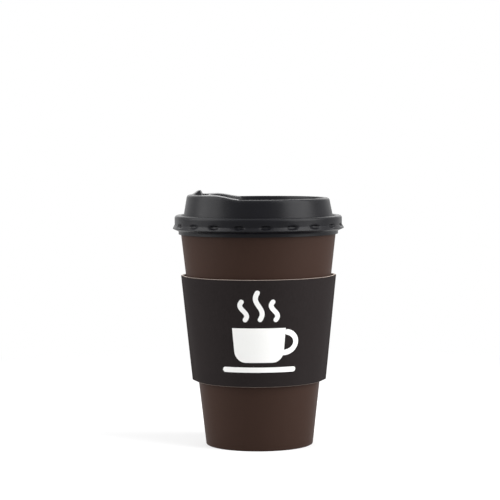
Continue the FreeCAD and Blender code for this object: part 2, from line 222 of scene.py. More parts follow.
def ease(x):
    """A soft step from 0 to 1: 3x^2 - 2x^3 between the two ends."""
    x = np.clip(x, 0, 1)
    return x * x * (3 - 2 * x)


hook = section([(0, 0, 0, 1), (5, 0, 1, 1), (5, 5, 0, 1)])
print("a path with one right-angled bend has", len(hook), "points")

# %% [markdown]
# A lapped seam
#
# Rolled-up paper and board need a glued overlap. Seen from outside it is a step as high as the sheet
# is thick, and from the step the sheet sinks back into the round over some degrees. To make it, the
# points of the outer face move outward by a share of the thickness that grows towards the step and
# is nothing behind it. Two columns stand close together at the step, which keeps it sharp.

# %% Seam helpers
STEP_GAP = math.radians(0.03)
LAP_FALL = 1.5


def round_angles(count, places=(), spread=0.0, extra=0):
    """Angles round the axis: evenly spaced ones, more of them within spread of the named places,
    and none nearer to a place than a hair, so that a step or a fold keeps one column each side."""
    angles = [np.linspace(0, 2 * np.pi, count, endpoint=False)]
    for place in places:
        if extra:
            angles.append(place + np.linspace(-spread, spread, extra))
        angles.append([place - STEP_GAP, place + STEP_GAP])
    angles = np.unique(np.round(np.mod(np.concatenate(angles), 2 * np.pi), 6))
    keep = np.ones(len(angles), bool)
    for place in places:
        away = np.abs((angles - place + np.pi) % (2 * np.pi) - np.pi)
        keep &= (away > 4 * STEP_GAP) | (np.abs(away - STEP_GAP) < STEP_GAP / 10)
    return angles[keep]


def overlap(angles, place, sweep):
    """Share of a sheet's thickness that a lapped edge stands proud. It is 1 at the place, and on one
    side of it falls to 0 over the sweep, as the part of the sweep that is left, to the power
    LAP_FALL. On the other side it is 0."""
    behind = (place - angles) % (2 * np.pi)
    return np.clip(1 - behind / sweep, 0, 1) ** LAP_FALL


print("columns with one seam:", len(round_angles(200, [1.6])))

# %% [markdown]
# Node groups for paper and plastic
#
# A flat colour looks like paint. Paper shows fibres: a faint cloud in the colour and a fine tooth
# in the surface. Moulded plastic shows a skin that is almost smooth, with a slow wave in it. The
# fibres are wanted in four materials, so they are a node group with its own sockets, built once. The
# plastic's skin has the same outputs, so every finish can be put together by one function.

# %% Node group helpers
NOISE_ROUGHNESS = 0.6


def new_group(name, inputs, outputs):
    """A shader node group with number inputs (name, default) and outputs (name, type)."""
    group = bpy.data.node_groups.new(name, "ShaderNodeTree")
    for label, default in inputs:
        socket = group.interface.new_socket(label, in_out="INPUT", socket_type="NodeSocketFloat")
        socket.default_value = default
    for label, kind in outputs:
        group.interface.new_socket(label, in_out="OUTPUT", socket_type=kind)
    return group, group.nodes.new("NodeGroupInput"), group.nodes.new("NodeGroupOutput")


def math_node(tree, operation, first, second):
    """One step of arithmetic: first and second are sockets or plain numbers."""
    node = tree.nodes.new("ShaderNodeMath")
    node.operation = operation
    for socket, value in zip(node.inputs, (first, second)):
        if isinstance(value, (int, float)):
            socket.default_value = value
        else:
            tree.links.new(value, socket)
    return node.outputs[0]


def varied(tree, base, amount, centred):
    """base + amount * centred: a value that varies about a base."""
    return math_node(tree, "ADD", math_node(tree, "MULTIPLY", centred, amount), base)


def noise(tree, place, scale, detail):
    """Fractal noise from 0 to 1, read at a place, with so many bumps to a metre."""
    node = tree.nodes.new("ShaderNodeTexNoise")
    node.inputs["Detail"].default_value = detail
    node.inputs["Roughness"].default_value = NOISE_ROUGHNESS
    tree.links.new(place, node.inputs["Vector"])
    if isinstance(scale, (int, float)):
        node.inputs["Scale"].default_value = scale
    else:
        tree.links.new(scale, node.inputs["Scale"])
    return node.outputs["Fac"]


def stretched(tree, place, scale):
    """A place with each of its directions stretched."""
    node = tree.nodes.new("ShaderNodeMapping")
    node.inputs["Scale"].default_value = scale
    tree.links.new(place, node.inputs["Vector"])
    return node.outputs["Vector"]


def object_place(tree):
    """Where a point lies on the object, in metres."""
    return tree.nodes.new("ShaderNodeTexCoord").outputs["Object"]


print("materials in the packed model:", len(bpy.data.materials))

# %% Fibre group: the tooth and cloud of paper and board
TOOTH_STRETCH = (1, 1, 0.45)
TOOTH_DETAIL = 4.0
TOOTH_SHARE = 0.6
CLOUD_FINENESS = 0.05
CLOUD_DETAIL = 3.0

FIBRE, fibre_in, fibre_out = new_group(
    "fibre",
    [("Fineness", 1500.0), ("Cloud", 0.1), ("Base Roughness", 0.5), ("Roughness Range", 0.1)],
    [("Tone", "NodeSocketFloat"), ("Roughness", "NodeSocketFloat"), ("Height", "NodeSocketFloat")],
)
given = fibre_in.outputs
where = object_place(FIBRE)
tooth = noise(FIBRE, stretched(FIBRE, where, TOOTH_STRETCH), given["Fineness"], TOOTH_DETAIL)
cloud_scale = math_node(FIBRE, "MULTIPLY", given["Fineness"], CLOUD_FINENESS)
cloud = noise(FIBRE, where, cloud_scale, CLOUD_DETAIL)
tooth_part = math_node(FIBRE, "MULTIPLY", tooth, TOOTH_SHARE)
cloud_part = math_node(FIBRE, "MULTIPLY", cloud, 1 - TOOTH_SHARE)
centred = math_node(FIBRE, "SUBTRACT", math_node(FIBRE, "ADD", tooth_part, cloud_part), 0.5)
roughness = varied(FIBRE, given["Base Roughness"], given["Roughness Range"], centred)
FIBRE.links.new(varied(FIBRE, 1.0, given["Cloud"], centred), fibre_out.inputs["Tone"])
FIBRE.links.new(roughness, fibre_out.inputs["Roughness"])
FIBRE.links.new(tooth, fibre_out.inputs["Height"])
print("group", FIBRE.name, "with", len(FIBRE.nodes), "nodes")

# %% Moulded group: the skin of pressed plastic
WAVE_DETAIL = 1.0
GRAIN_DETAIL = 2.0
GRAIN_SHARE = 0.12
WAVE_TONE = 0.3

MOULDED, moulded_in, moulded_out = new_group(
    "moulded",
    [("Wave", 140.0), ("Grain", 2600.0), ("Base Roughness", 0.3), ("Roughness Range", 0.1)],
    [("Tone", "NodeSocketFloat"), ("Roughness", "NodeSocketFloat"), ("Height", "NodeSocketFloat")],
)
given = moulded_in.outputs
where = object_place(MOULDED)
wave = noise(MOULDED, where, given["Wave"], WAVE_DETAIL)
grain = noise(MOULDED, where, given["Grain"], GRAIN_DETAIL)
grain_part = math_node(MOULDED, "MULTIPLY", grain, GRAIN_SHARE)
wave_part = math_node(MOULDED, "MULTIPLY", wave, 1 - GRAIN_SHARE)
centred = math_node(MOULDED, "SUBTRACT", wave, 0.5)
roughness = varied(MOULDED, given["Base Roughness"], given["Roughness Range"], centred)
MOULDED.links.new(varied(MOULDED, 1.0, WAVE_TONE, centred), moulded_out.inputs["Tone"])
MOULDED.links.new(roughness, moulded_out.inputs["Roughness"])
MOULDED.links.new(math_node(MOULDED, "ADD", grain_part, wave_part), moulded_out.inputs["Height"])
print("group", MOULDED.name, "with", len(MOULDED.nodes), "nodes")

# %% [markdown]
# Materials
#
# Five finishes cover the object: brown ink on coated paper with the white paper behind it, the bare
# white paper of the base, the near-black board of the sleeve with its paler cut edge, white ink on
# that board, and black moulded plastic. Where one sheet shows two finishes, its mesh carries a
# number a point, such as 1 where the ink is and 0 where the paper is bare, and the material mixes
# two colours by it. A value that is the same everywhere is set on the shader's own socket.

# %% Material helpers
def srgb(red, green, blue):
    """A colour as a screen shows it, 0 to 255, turned into the plain light values of a shader. Above
    the darkest tones, the light is ((share + 0.055) / 1.055) to the power 2.4."""
    share = np.array([red, green, blue]) / 255
    light = np.where(share <= 0.04045, share / 12.92, ((share + 0.055) / 1.055) ** 2.4)
    return (*light.tolist(), 1.0)


def toned(tree, colour, tone):
    """A colour made lighter or darker: it is multiplied by a tone around 1."""
    node = tree.nodes.new("ShaderNodeVectorMath")
    node.operation = "SCALE"
    tree.links.new(tone, node.inputs["Scale"])
    if isinstance(colour, tuple):
        node.inputs[0].default_value = colour[:3]
    else:
        tree.links.new(colour, node.inputs[0])
    return node.outputs["Vector"]


def by_attribute(tree, attribute, at_zero, at_one):
    """Two colours mixed by a number that the mesh carries."""
    reader = tree.nodes.new("ShaderNodeAttribute")
    reader.attribute_name = attribute
    mix = tree.nodes.new("ShaderNodeMix")
    mix.data_type = "RGBA"
    mix.inputs[6].default_value = at_zero
    mix.inputs[7].default_value = at_one
    tree.links.new(reader.outputs["Fac"], mix.inputs[0])
    return mix.outputs[2]


def bumped(tree, shader, height, depth):
    """A bump that is so many metres deep."""
    node = tree.nodes.new("ShaderNodeBump")
    node.inputs["Distance"].default_value = depth
    node.inputs["Strength"].default_value = 1.0
    tree.links.new(height, node.inputs["Height"])
    tree.links.new(node.outputs["Normal"], shader.inputs["Normal"])


def new_finish(name, colours, group, values, gloss, depth):
    """A material with one Principled shader, toned, roughened and bumped by a node group. colours
    is one colour, or an attribute with the colours where it is 0 and where it is 1."""
    material = bpy.data.materials.new(name)
    material.use_nodes = True
    tree = material.node_tree
    shader = tree.nodes["Principled BSDF"]
    shader.inputs["Specular IOR Level"].default_value = gloss
    effect = tree.nodes.new("ShaderNodeGroup")
    effect.node_tree = group
    for label, value in values.items():
        effect.inputs[label].default_value = value
    colour = by_attribute(tree, *colours) if isinstance(colours[0], str) else colours
    tree.links.new(toned(tree, colour, effect.outputs["Tone"]), shader.inputs["Base Color"])
    tree.links.new(effect.outputs["Roughness"], shader.inputs["Roughness"])
    bumped(tree, shader, effect.outputs["Height"], depth)
    return material


print("a middle grey of 128 is", round(srgb(128, 128, 128)[0], 3), "as light")

# %% The five finishes
WHITE_PAPER = srgb(243, 241, 236)
BROWN_INK = srgb(53, 38, 32)
SLEEVE_BLACK = srgb(38, 34, 34)
BOARD_CUT = srgb(178, 164, 155)
WHITE_INK = srgb(243, 243, 241)
LID_BLACK = srgb(12, 12, 16)

cup_finish = new_finish(
    "printed_cup_paper",
    ("print", WHITE_PAPER, BROWN_INK),
    FIBRE,
    {"Fineness": 1900.0, "Cloud": 0.16, "Base Roughness": 0.55, "Roughness Range": 0.22},
    gloss=0.06,
    depth=0.00003,
)
base_finish = new_finish(
    "white_cup_paper",
    WHITE_PAPER,
    FIBRE,
    {"Fineness": 1700.0, "Cloud": 0.06, "Base Roughness": 0.55, "Roughness Range": 0.15},
    gloss=0.3,
    depth=0.00004,
)
sleeve_finish = new_finish(
    "dyed_sleeve_board",
    ("cut", SLEEVE_BLACK, BOARD_CUT),
    FIBRE,
    {"Fineness": 1100.0, "Cloud": 0.6, "Base Roughness": 0.78, "Roughness Range": 0.25},
    gloss=0.03,
    depth=0.00006,
)
ink_finish = new_finish(
    "white_printing_ink",
    WHITE_INK,
    FIBRE,
    {"Fineness": 1300.0, "Cloud": 0.07, "Base Roughness": 0.6, "Roughness Range": 0.2},
    gloss=0.3,
    depth=0.00004,
)
lid_finish = new_finish(
    "black_lid_plastic",
    LID_BLACK,
    MOULDED,
    {"Wave": 120.0, "Grain": 2400.0, "Base Roughness": 0.36, "Roughness Range": 0.12},
    gloss=0.13,
    depth=0.00012,
)
print("materials:", [m.name for m in (cup_finish, base_finish, sleeve_finish, ink_finish, lid_finish)])

# %% [markdown]
# The cup wall
#
# The wall is one sheet of paper. At the top it is rolled outward into the rim, so the white side of
# the paper shows there. At the foot it is folded in and up again, which holds the base. The section
# follows the white side; the printed side lies a paper's thickness away. Both are carried round the
# axis as one closed loop of rows, so the two cut ends of the paper close by themselves. A Solidify
# modifier would give the thickness as well, but it wouldn't tell which side carries the ink. Here the
# rows tell it: the number "print" is 1 on the printed side.

# %% Cup wall
RIM_WIDTH = 2.0
RIM_DEPTH = 2.1
ROLL_BEND = RIM_WIDTH * 0.46
ROLL_END = 1.4
FOLD_HEIGHT = 7.0
FOLD_GAP = 0.52
FOLD_BEND = 0.2
CUP_SEAM = math.radians(96)
CUP_SEAM_SWEEP = math.radians(20)
SEAM_FOOT = 0.3
SEAM_BELOW_RIM = 0.2
CUP_COLUMNS = 240

rim_radius = MOUTH_RADIUS + RIM_WIDTH
rim_under = CUP_HEIGHT - RIM_DEPTH

# Each corner: distance from the axis, height, bend, steps on the run after it.
white_side = section(
    [
        (rim_radius - ROLL_END, rim_under, 0, 3),
        (rim_radius, rim_under, ROLL_BEND, 1),
        (rim_radius, CUP_HEIGHT, ROLL_BEND, 1),
        (MOUTH_RADIUS, CUP_HEIGHT, ROLL_BEND, 14),
        (wall_radius(PAPER), PAPER, FOLD_BEND, 1),
        (wall_radius(PAPER) - FOLD_GAP, PAPER, FOLD_BEND, 3),
        (wall_radius(FOLD_HEIGHT) - FOLD_GAP, FOLD_HEIGHT, 0, 1),
    ]
)
printed_side = side_of(white_side, -PAPER)[::-1]
angles = round_angles(CUP_COLUMNS, [CUP_SEAM])
white_grid = about_axis(white_side, angles)
printed_grid = about_axis(printed_side, angles)

# The seam stands proud only on the straight outer wall, below the rim and above the fold.
radius, height = printed_side[:, 0], printed_side[:, 1]
straight = (height > SEAM_FOOT) & (height < rim_under - SEAM_BELOW_RIM)
outer_wall = straight & (radius > wall_radius(height) + PAPER / 2)
proud = PAPER * overlap(angles, CUP_SEAM, CUP_SEAM_SWEEP)[None, :] * outer_wall[:, None]
printed_grid[..., 0] += proud * np.cos(angles)
printed_grid[..., 1] += proud * np.sin(angles)

loop = np.concatenate([white_grid, printed_grid])
printed = np.concatenate([np.zeros(len(white_side)), np.ones(len(printed_side))])
wall_faces = grid_quads(len(loop), len(angles), rows_meet=True)
cup_wall = make_piece("cup_wall", loop.reshape(-1, 3), [wall_faces])
paint(cup_wall, "print", np.repeat(printed, len(angles)))
cup_wall.data.materials.append(cup_finish)
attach(cup_wall, "cup")
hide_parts("cup_sidewall")

# %% [markdown]
# The base disc
#
# The base is a paper disc, set some way above the table, with its edge turned down between the
# wall and the fold. A plain disc would do from above, but from below the bend of the turned edge
# shows over the top of the fold. The section starts beside the axis, so the middle is closed with a
# fan of triangles on each side of the paper.

# %% Base disc
BASE_HEIGHT = 8.0
BASE_PAPER = 0.4
BASE_BEND = 0.7
BASE_START = 0.6
BASE_COLUMNS = 200
GLUE = 0.06
SKIRT_FOOT = 0.95

base_top = section(
    [
        (BASE_START, BASE_HEIGHT, 0, 8),
        (wall_radius(BASE_HEIGHT) - GLUE, BASE_HEIGHT, BASE_BEND, 5),
        (wall_radius(SKIRT_FOOT) - GLUE, SKIRT_FOOT, 0, 1),
    ]
)


def shell_of_sheet(name, top, under):
    """A closed shell from two grids of the same size whose first rows lie near the axis. Each
    grid's middle is closed by a fan, and the two last rows are joined along the cut edge."""
    rows, columns = top.shape[:2]
    loop = np.concatenate([top, under[::-1]])
    poles = np.array([[0, 0, top[0, :, 2].mean()], [0, 0, under[0, :, 2].mean()]])
    points = np.concatenate([loop.reshape(-1, 3), poles])
    count = 2 * rows * columns
    fans = np.concatenate([fan(count, 0, columns)[:, ::-1], fan(count + 1, count - columns, columns)])
    quads = grid_quads(2 * rows, columns)
    return make_piece(name, points, [quads, fans])


angles = round_angles(BASE_COLUMNS)
base_disc = shell_of_sheet(
    "base_disc", about_axis(base_top, angles), about_axis(side_of(base_top, BASE_PAPER), angles)
)
base_disc.data.materials.append(base_finish)
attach(base_disc, "cup")
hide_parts("cup_base")

# %% [markdown]
# The sleeve
#
# The sleeve is a curved strip of board, glued into a ring and sold folded flat, with a crease on
# each side. Opened round a cup it isn't quite round: beside each crease the board runs straight
# until it touches the cup. If the cup has the radius R and the board leaves it at the angle A from
# the crease, the distance from the axis at the angle a from the crease is R / cos(A - a), and it is
# R from A on. That one formula gives the whole ring, while an oval would touch the cup only at the
# middle of the front and of the back. The bend of the crease is softened by reading the angle as the
# root of a squared plus a small number squared.

# %% Sleeve
SLEEVE_FOOT = 35.2
SLEEVE_HEIGHT = 57.5
BOARD = 1.3
SLEEVE_GAP = 0.57
CREASES = (0.0, np.pi)
CREASE_FOOT = math.radians(17.3)
CREASE_TOP = math.radians(12.6)
CREASE_BEND = math.radians(0.9)
SLEEVE_SEAM = math.radians(84)
SLEEVE_SEAM_SWEEP = math.radians(18)
EDGE_BEND = 0.18
SLEEVE_ROWS = 14
SLEEVE_COLUMNS = 260
FINE_SPREAD = math.radians(6)
FINE_COLUMNS = 24


def sleeve_radius(height, angles, out):
    """Distance from the axis to the sleeve, out millimetres outside its inner face: R / cos(A - a)
    near a crease, where A shrinks evenly from the sleeve's foot to its top, and R elsewhere."""
    share = (height - SLEEVE_FOOT) / SLEEVE_HEIGHT
    touch = CREASE_FOOT + (CREASE_TOP - CREASE_FOOT) * share
    from_crease = np.abs((angles + np.pi / 2) % np.pi - np.pi / 2)
    soft = np.sqrt(from_crease**2 + CREASE_BEND**2)
    around = wall_radius(height) + PAPER + SLEEVE_GAP + out
    return around / np.cos(np.clip(touch - soft, 0, None))


# The board's section runs up the outer face, over the cut edge, down the inner face and back.
sleeve_top = SLEEVE_FOOT + SLEEVE_HEIGHT
up = np.linspace(SLEEVE_FOOT + EDGE_BEND, sleeve_top - EDGE_BEND, SLEEVE_ROWS)
outer, inner = np.full(SLEEVE_ROWS, BOARD), np.zeros(SLEEVE_ROWS)
heights = np.concatenate([up, [sleeve_top] * 2, up[::-1], [SLEEVE_FOOT] * 2])
outs = np.concatenate([outer, [BOARD - EDGE_BEND, EDGE_BEND], inner, [EDGE_BEND, BOARD - EDGE_BEND]])
cut_edge = np.isin(heights, [SLEEVE_FOOT, sleeve_top])

# Near the seam and the creases, the columns stand closer together.
angles = round_angles(SLEEVE_COLUMNS, [SLEEVE_SEAM, *CREASES], FINE_SPREAD, FINE_COLUMNS)
reach = sleeve_radius(heights[:, None], angles[None, :], outs[:, None])
lap = BOARD * overlap(angles, SLEEVE_SEAM, SLEEVE_SEAM_SWEEP)
reach = reach + lap[None, :] * (outs[:, None] > BOARD / 2)
level = heights[:, None] * np.ones_like(angles)
ring = np.stack([reach * np.cos(angles), reach * np.sin(angles), level], axis=-1)
ring_faces = grid_quads(len(ring), len(angles), rows_meet=True)
sleeve = make_piece("sleeve_board_ring", ring.reshape(-1, 3), [ring_faces])
paint(sleeve, "cut", np.repeat(cut_edge, len(angles)))
sleeve.data.materials.append(sleeve_finish)
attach(sleeve, "cup")
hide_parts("sleeve")

# %% [markdown]
# The printed picture
#
# A plain white picture of a steaming mug is printed on the front of the sleeve. It could be drawn
# in the material, but then its edge is only as sharp as the picture that it is baked into. Here each
# field of ink is a thin mesh that lies on the board: its two parameters are a place along and a
# place across the field, they give a flat point, and the flat point is bent round the sleeve. A
# distance along the board becomes an angle when it is divided by the radius.

# %% Fields of ink
INK = 0.04
PICTURE_HEIGHT = 64.0
RIBBON_POINTS = 5
RIBBON_TIP = 0.02


def on_sleeve(flat, out):
    """Flat points (across, up), measured from the middle of the front at PICTURE_HEIGHT, bent round
    the sleeve. The angle is the distance across divided by the sleeve's radius at that height."""
    height = PICTURE_HEIGHT + flat[..., 1]
    middle_radius = wall_radius(PICTURE_HEIGHT) + PAPER + SLEEVE_GAP + BOARD
    angle = -np.pi / 2 + flat[..., 0] / middle_radius
    reach = sleeve_radius(height, angle, BOARD + out)
    return np.stack([reach * np.cos(angle), reach * np.sin(angle), height], axis=-1)


def field(flat):
    """Points and faces of one field of ink: a grid of flat points as a thin closed slab. Its front
    stands INK outside the board, its back lies as far inside, and the grid's border joins them."""
    rows, columns = flat.shape[:2]
    points = np.concatenate([on_sleeve(flat, out).reshape(-1, 3) for out in (INK, -INK)])
    row, column = np.meshgrid(np.arange(rows - 1), np.arange(columns - 1), indexing="ij")
    first = (row * columns + column).ravel()
    front = np.stack([first, first + 1, first + columns + 1, first + columns], axis=-1)
    number = np.arange(rows * columns).reshape(rows, columns)
    border = np.concatenate([number[0], number[1:, -1], number[-1, -2::-1], number[-2:0:-1, 0]])
    after = np.roll(border, -1)
    back = front[:, ::-1] + rows * columns
    sides = np.stack([border, border + rows * columns, after + rows * columns, after], axis=-1)
    return points, np.concatenate([front, back, sides])


def quarter_round(share):
    """A quarter of a circle that rises from 0 to 1: the root of 1 - (1 - share)^2."""
    return np.sqrt(1 - (1 - np.clip(share, 0, 1)) ** 2)


def ribbon(line, width):
    """A field along a line of flat points, so wide. Towards its two ends the width follows a
    quarter of a circle, which makes a round end."""
    way = np.gradient(line, axis=0)
    way /= np.hypot(way[:, 0], way[:, 1])[:, None]
    normal = np.stack([way[:, 1], -way[:, 0]], axis=-1)
    length = np.concatenate([[0], np.cumsum(np.hypot(*np.diff(line, axis=0).T))])
    from_end = np.minimum(length, length[-1] - length)
    half = np.maximum(quarter_round(from_end / (width / 2)), RIBBON_TIP) * width / 2
    across = np.linspace(-1, 1, RIBBON_POINTS)[None, :, None]
    return line[:, None, :] + normal[:, None, :] * half[:, None, None] * across


def crowded_line(start, end, count):
    """A straight line whose points crowd towards its two ends, where a ribbon is rounded: the share
    of the way is (1 - cos t) / 2, with even steps of t from 0 to pi."""
    share = (1 - np.cos(np.linspace(0, np.pi, count))) / 2
    return np.array(start) + (np.array(end) - np.array(start)) * share[:, None]


print("a point", PICTURE_HEIGHT, "mm up the front lies at", on_sleeve(np.zeros(2), 0).round(2))

# %% [markdown]
# The mug, its saucer and the steam
#
# The mug's body is a stack of level runs: each is as wide as the mug is at that height, a little
# narrower below, and its two lower corners are quarters of a circle. All the rest of the picture is
# ribbons. The handle's line is an arc that starts and ends in the body's side, the saucer's is
# straight, and the three lines of steam are each swayed by one wave of a sine. A drawn outline filled
# with faces would do too, but its long thin triangles bend badly round the sleeve.

# %% Mug and handle
MUG_TOP = 3.0
MUG_FOOT = -15.5
MUG_HALF = 14.4
MUG_TAPER = 0.9
MUG_CORNER = 6.0
MUG_ROWS = 30
MUG_COLUMNS = 33
MUG_CROWDING = 1.5
HANDLE_MIDDLE = np.array([13.5, -4.6])
HANDLE_RADII = np.array([7.2, 5.6])
HANDLE_SWING = (-1.75, 1.5)
HANDLE_WIDTH = 3.0
HANDLE_POINTS = 48

level = np.linspace(0, 1, MUG_ROWS) ** MUG_CROWDING
rise = MUG_FOOT + (MUG_TOP - MUG_FOOT) * level
corner = quarter_round((rise - MUG_FOOT) / MUG_CORNER)
half = MUG_HALF - MUG_CORNER * (1 - corner) - MUG_TAPER * (1 - level)
across = np.linspace(-1, 1, MUG_COLUMNS)
body = np.stack([half[:, None] * across, rise[:, None] * np.ones_like(across)], axis=-1)

swing = np.linspace(*HANDLE_SWING, HANDLE_POINTS)
arc = HANDLE_MIDDLE + HANDLE_RADII * np.stack([np.cos(swing), np.sin(swing)], axis=-1)
handle = ribbon(arc, HANDLE_WIDTH)
print("the mug is", 2 * MUG_HALF, "mm across and", MUG_TOP - MUG_FOOT, "mm high")

# %% Saucer, steam and the printed picture
SAUCER_HALF = 21.4
SAUCER_LEVEL = -19.4
SAUCER_WIDTH = 2.8
SAUCER_POINTS = 40
STEAM_FOOT = 6.6
STEAM_HEADS = (18.0, 23.0, 18.0)
STEAM_GAP = 8.0
STEAM_SWAY = 1.7
STEAM_WIDTH = 2.5
STEAM_POINTS = 60
PICTURE_SHARP = 60.0

saucer_line = crowded_line((-SAUCER_HALF, SAUCER_LEVEL), (SAUCER_HALF, SAUCER_LEVEL), SAUCER_POINTS)
saucer = ribbon(saucer_line, SAUCER_WIDTH)

steam = []
for place, head in zip((-STEAM_GAP, 0.0, STEAM_GAP), STEAM_HEADS):
    line = crowded_line((place, STEAM_FOOT), (place, head), STEAM_POINTS)
    share = (line[:, 1] - STEAM_FOOT) / (head - STEAM_FOOT)
    line[:, 0] += STEAM_SWAY * np.sin(share * 2 * np.pi)
    steam.append(ribbon(line, STEAM_WIDTH))

points = []
faces = []
used = 0
for flat in [body, handle, saucer, *steam]:
    some_points, some_faces = field(flat)
    points.append(some_points)
    faces.append(some_faces + used)
    used += len(some_points)
ink_faces = np.concatenate(faces)
picture = make_piece("sleeve_picture", np.concatenate(points), [ink_faces], sharp=PICTURE_SHARP)
picture.data.materials.append(ink_finish)
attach(picture, "cup")

# %% [markdown]
# The lid
#
# The lid is a sheet of plastic pressed over a mould. Its section runs from the sunken deck over the
# rim, down the dome, through a groove, over the bead that grips the cup's rim, out to a flange, and
# back under it to the lower edge. On the drinking side a pad rises from the deck to the rim, with a
# ramp at each end and a ridge for the lips. So the section alone isn't enough: after it has been
# carried round the axis, the height of each point of the top is raised to the pad where the pad is
# higher. Walls are soft steps, as pressed plastic has.

# %% Lid section
DECK = CUP_HEIGHT + 3.0
LID_TOP = CUP_HEIGHT + 10.0
GROOVE = CUP_HEIGHT - 1.8
BEAD_TOP = CUP_HEIGHT + 0.55
FLARE = CUP_HEIGHT - 4.3
FLANGE = CUP_HEIGHT - 6.3
TURN_UNDER = FLANGE - 1.5
LID_EDGE = FLANGE - 3.1

DECK_START = 0.8
PAD_FOOT_FROM = 24.4
PAD_FOOT_TO = 27.2
DECK_EDGE = 34.45
CREST = 35.95
SHOULDER_RADIUS = 38.7
DOME_FOOT_RADIUS = 41.1
GROOVE_RADIUS = 42.0
BEAD_INNER_RADIUS = 42.3
BEAD_RADIUS = 45.6
FLANGE_RADIUS = BEAD_RADIUS + 1.2
LID_EDGE_RADIUS = 43.5
LID_COLUMNS = 360

# Each corner: distance from the axis, height, bend, steps on the run after it. The rows stand closer
# where the pad's wall will rise from the deck.
lid_line = section(
    [
        (DECK_START, DECK, 0, 4),
        (PAD_FOOT_FROM, DECK, 0, 7),
        (PAD_FOOT_TO, DECK, 0, 20),
        (DECK_EDGE, DECK, 1.3, 9),
        (CREST, LID_TOP, 0.6, 2),
        (SHOULDER_RADIUS, LID_TOP, 1.5, 8),
        (DOME_FOOT_RADIUS, GROOVE, 0.6, 1),
        (GROOVE_RADIUS, GROOVE, 0.35, 3),
        (BEAD_INNER_RADIUS, BEAD_TOP, 0.9, 2),
        (BEAD_RADIUS, BEAD_TOP, 1.4, 8),
        (BEAD_RADIUS, FLARE, 0.5, 6),
        (FLANGE_RADIUS, FLANGE, 0.35, 4),
        (LID_EDGE_RADIUS, TURN_UNDER, 0.4, 3),
        (LID_EDGE_RADIUS, LID_EDGE, 0, 1),
    ]
)
angles = round_angles(LID_COLUMNS)
top = about_axis(lid_line, angles)
print("the lid's section has", len(lid_line), "points")

# %% [markdown]
# Pad and ridge
#
# The rim's height follows the ramp: it is the lid's plain top on the far side, rises along the ramp
# and is level across the mouthpiece. The dome's wall is stretched with it, in proportion to the
# height above the groove. A small share of a sine is taken off the ramp, which rounds its two ends.
# The ridge is a soft hump across the pad, long as far as its sweep goes.

# %% Mouthpiece pad and lip ridge
PAD_RADIUS = 25.0
PAD_WALL = 1.3
PAD_END = 8.4
PAD_END_WALL = 1.9
PAD_RISE = 2.0
RAMP_FOOT = 9.9
RAMP_RUN = 12.6
RAMP_ROUNDING = 0.06
RIM_FROM = DECK_EDGE - 2
PAD_TO = CREST + 0.4
LIP_FEET = (30.8, 36.8)
LIP_CREST = (32.2, 33.0)
LIP_ROUNDING = 1.3
LIP_HALF_SWEEP = math.radians(17)
LIP_FADE = math.radians(4)
LIP_RISE = 2.3

radius = np.hypot(top[..., 0], top[..., 1])
height = top[..., 2]
to_mouth = -top[..., 0]
ramp = np.clip((to_mouth - RAMP_FOOT) / RAMP_RUN, 0, 1)
ramp = ramp - RAMP_ROUNDING * np.sin(2 * np.pi * ramp)
rim_share = np.clip((height - GROOVE) / (LID_TOP - GROOVE), 0, 1) * (radius > RIM_FROM)
plain_height = height + PAD_RISE * ramp * rim_share
pad = ease((radius - PAD_RADIUS) / PAD_WALL) * ease((to_mouth - PAD_END) / PAD_END_WALL)
pad_height = DECK + (LID_TOP + PAD_RISE * ramp - DECK) * pad
raised = np.where(radius < PAD_TO, np.maximum(pad_height, plain_height), plain_height)

lip_ends = ease((LIP_HALF_SWEEP - np.abs(angles - np.pi)) / LIP_FADE)
lip_across = np.interp(radius, [LIP_FEET[0], *LIP_CREST, LIP_FEET[1]], [0, 1, 1, 0]) ** LIP_ROUNDING
top[..., 2] = raised + LIP_RISE * lip_ends * lip_across
print("the mouthpiece reaches", round(float(top[..., 2].max()), 2), "mm")

# %% [markdown]
# Dents
#
# Twenty short dents round the skirt press in under the cup's rim and hold the lid. Each is a soft
# oval hollow: the two distances from its middle, as shares of its half length and half width, are
# squared and added, and the sheet moves towards the axis by a soft step of what is left.

# %% Dents round the skirt
DENTS = 20
DENT_PHASE = math.radians(-85)
DENT_HEIGHT = FLARE - 0.15
DENT_LENGTH = 6.4
DENT_WIDTH = 2.3
DENT_DEPTH = 0.85
DENT_REACH = 1.25
DENT_FROM = BEAD_RADIUS - 0.9

pitch = 2 * np.pi / DENTS
off = (angles - DENT_PHASE + pitch / 2) % pitch - pitch / 2
along = off * BEAD_RADIUS / (DENT_LENGTH / 2)
upward = (top[..., 2] - DENT_HEIGHT) / (DENT_WIDTH / 2)
dent = DENT_DEPTH * ease(DENT_REACH - along**2 - upward**2) * (radius > DENT_FROM)
top[..., 0] -= dent * np.cos(angles)
top[..., 1] -= dent * np.sin(angles)
print("deepest dent", round(float(dent.max()), 2), "mm")

# %% [markdown]
# The underside
#
# The pressed sheet needs its second face. A Solidify modifier could make it, but the grid is at hand:
# each point is moved inward along the grid's own normal. The two grids are joined along the cut edge
# and closed at the middle, as for the base disc.

# %% Lid shell
LID_SHEET = 0.45


def under_grid(grid, thickness):
    """The grid moved along its own normals: the cross product of its two directions. The first
    direction runs out from the axis and the second one runs round it."""
    out = np.gradient(grid, axis=0)
    around = np.roll(grid, -1, axis=1) - np.roll(grid, 1, axis=1)
    normal = np.cross(out, around)
    normal /= np.linalg.norm(normal, axis=-1, keepdims=True)
    return grid - normal * thickness


lid_shell = shell_of_sheet("lid_shell", top, under_grid(top, LID_SHEET))
print("lid height", round(float(top[..., 2].max()), 2))

# %% [markdown]
# Sip slot and vent
#
# The openings are punched after forming, so they are cut from the finished shell. A slot with round
# ends and a small round vent are made as upright prisms, and the Boolean modifier takes them away.

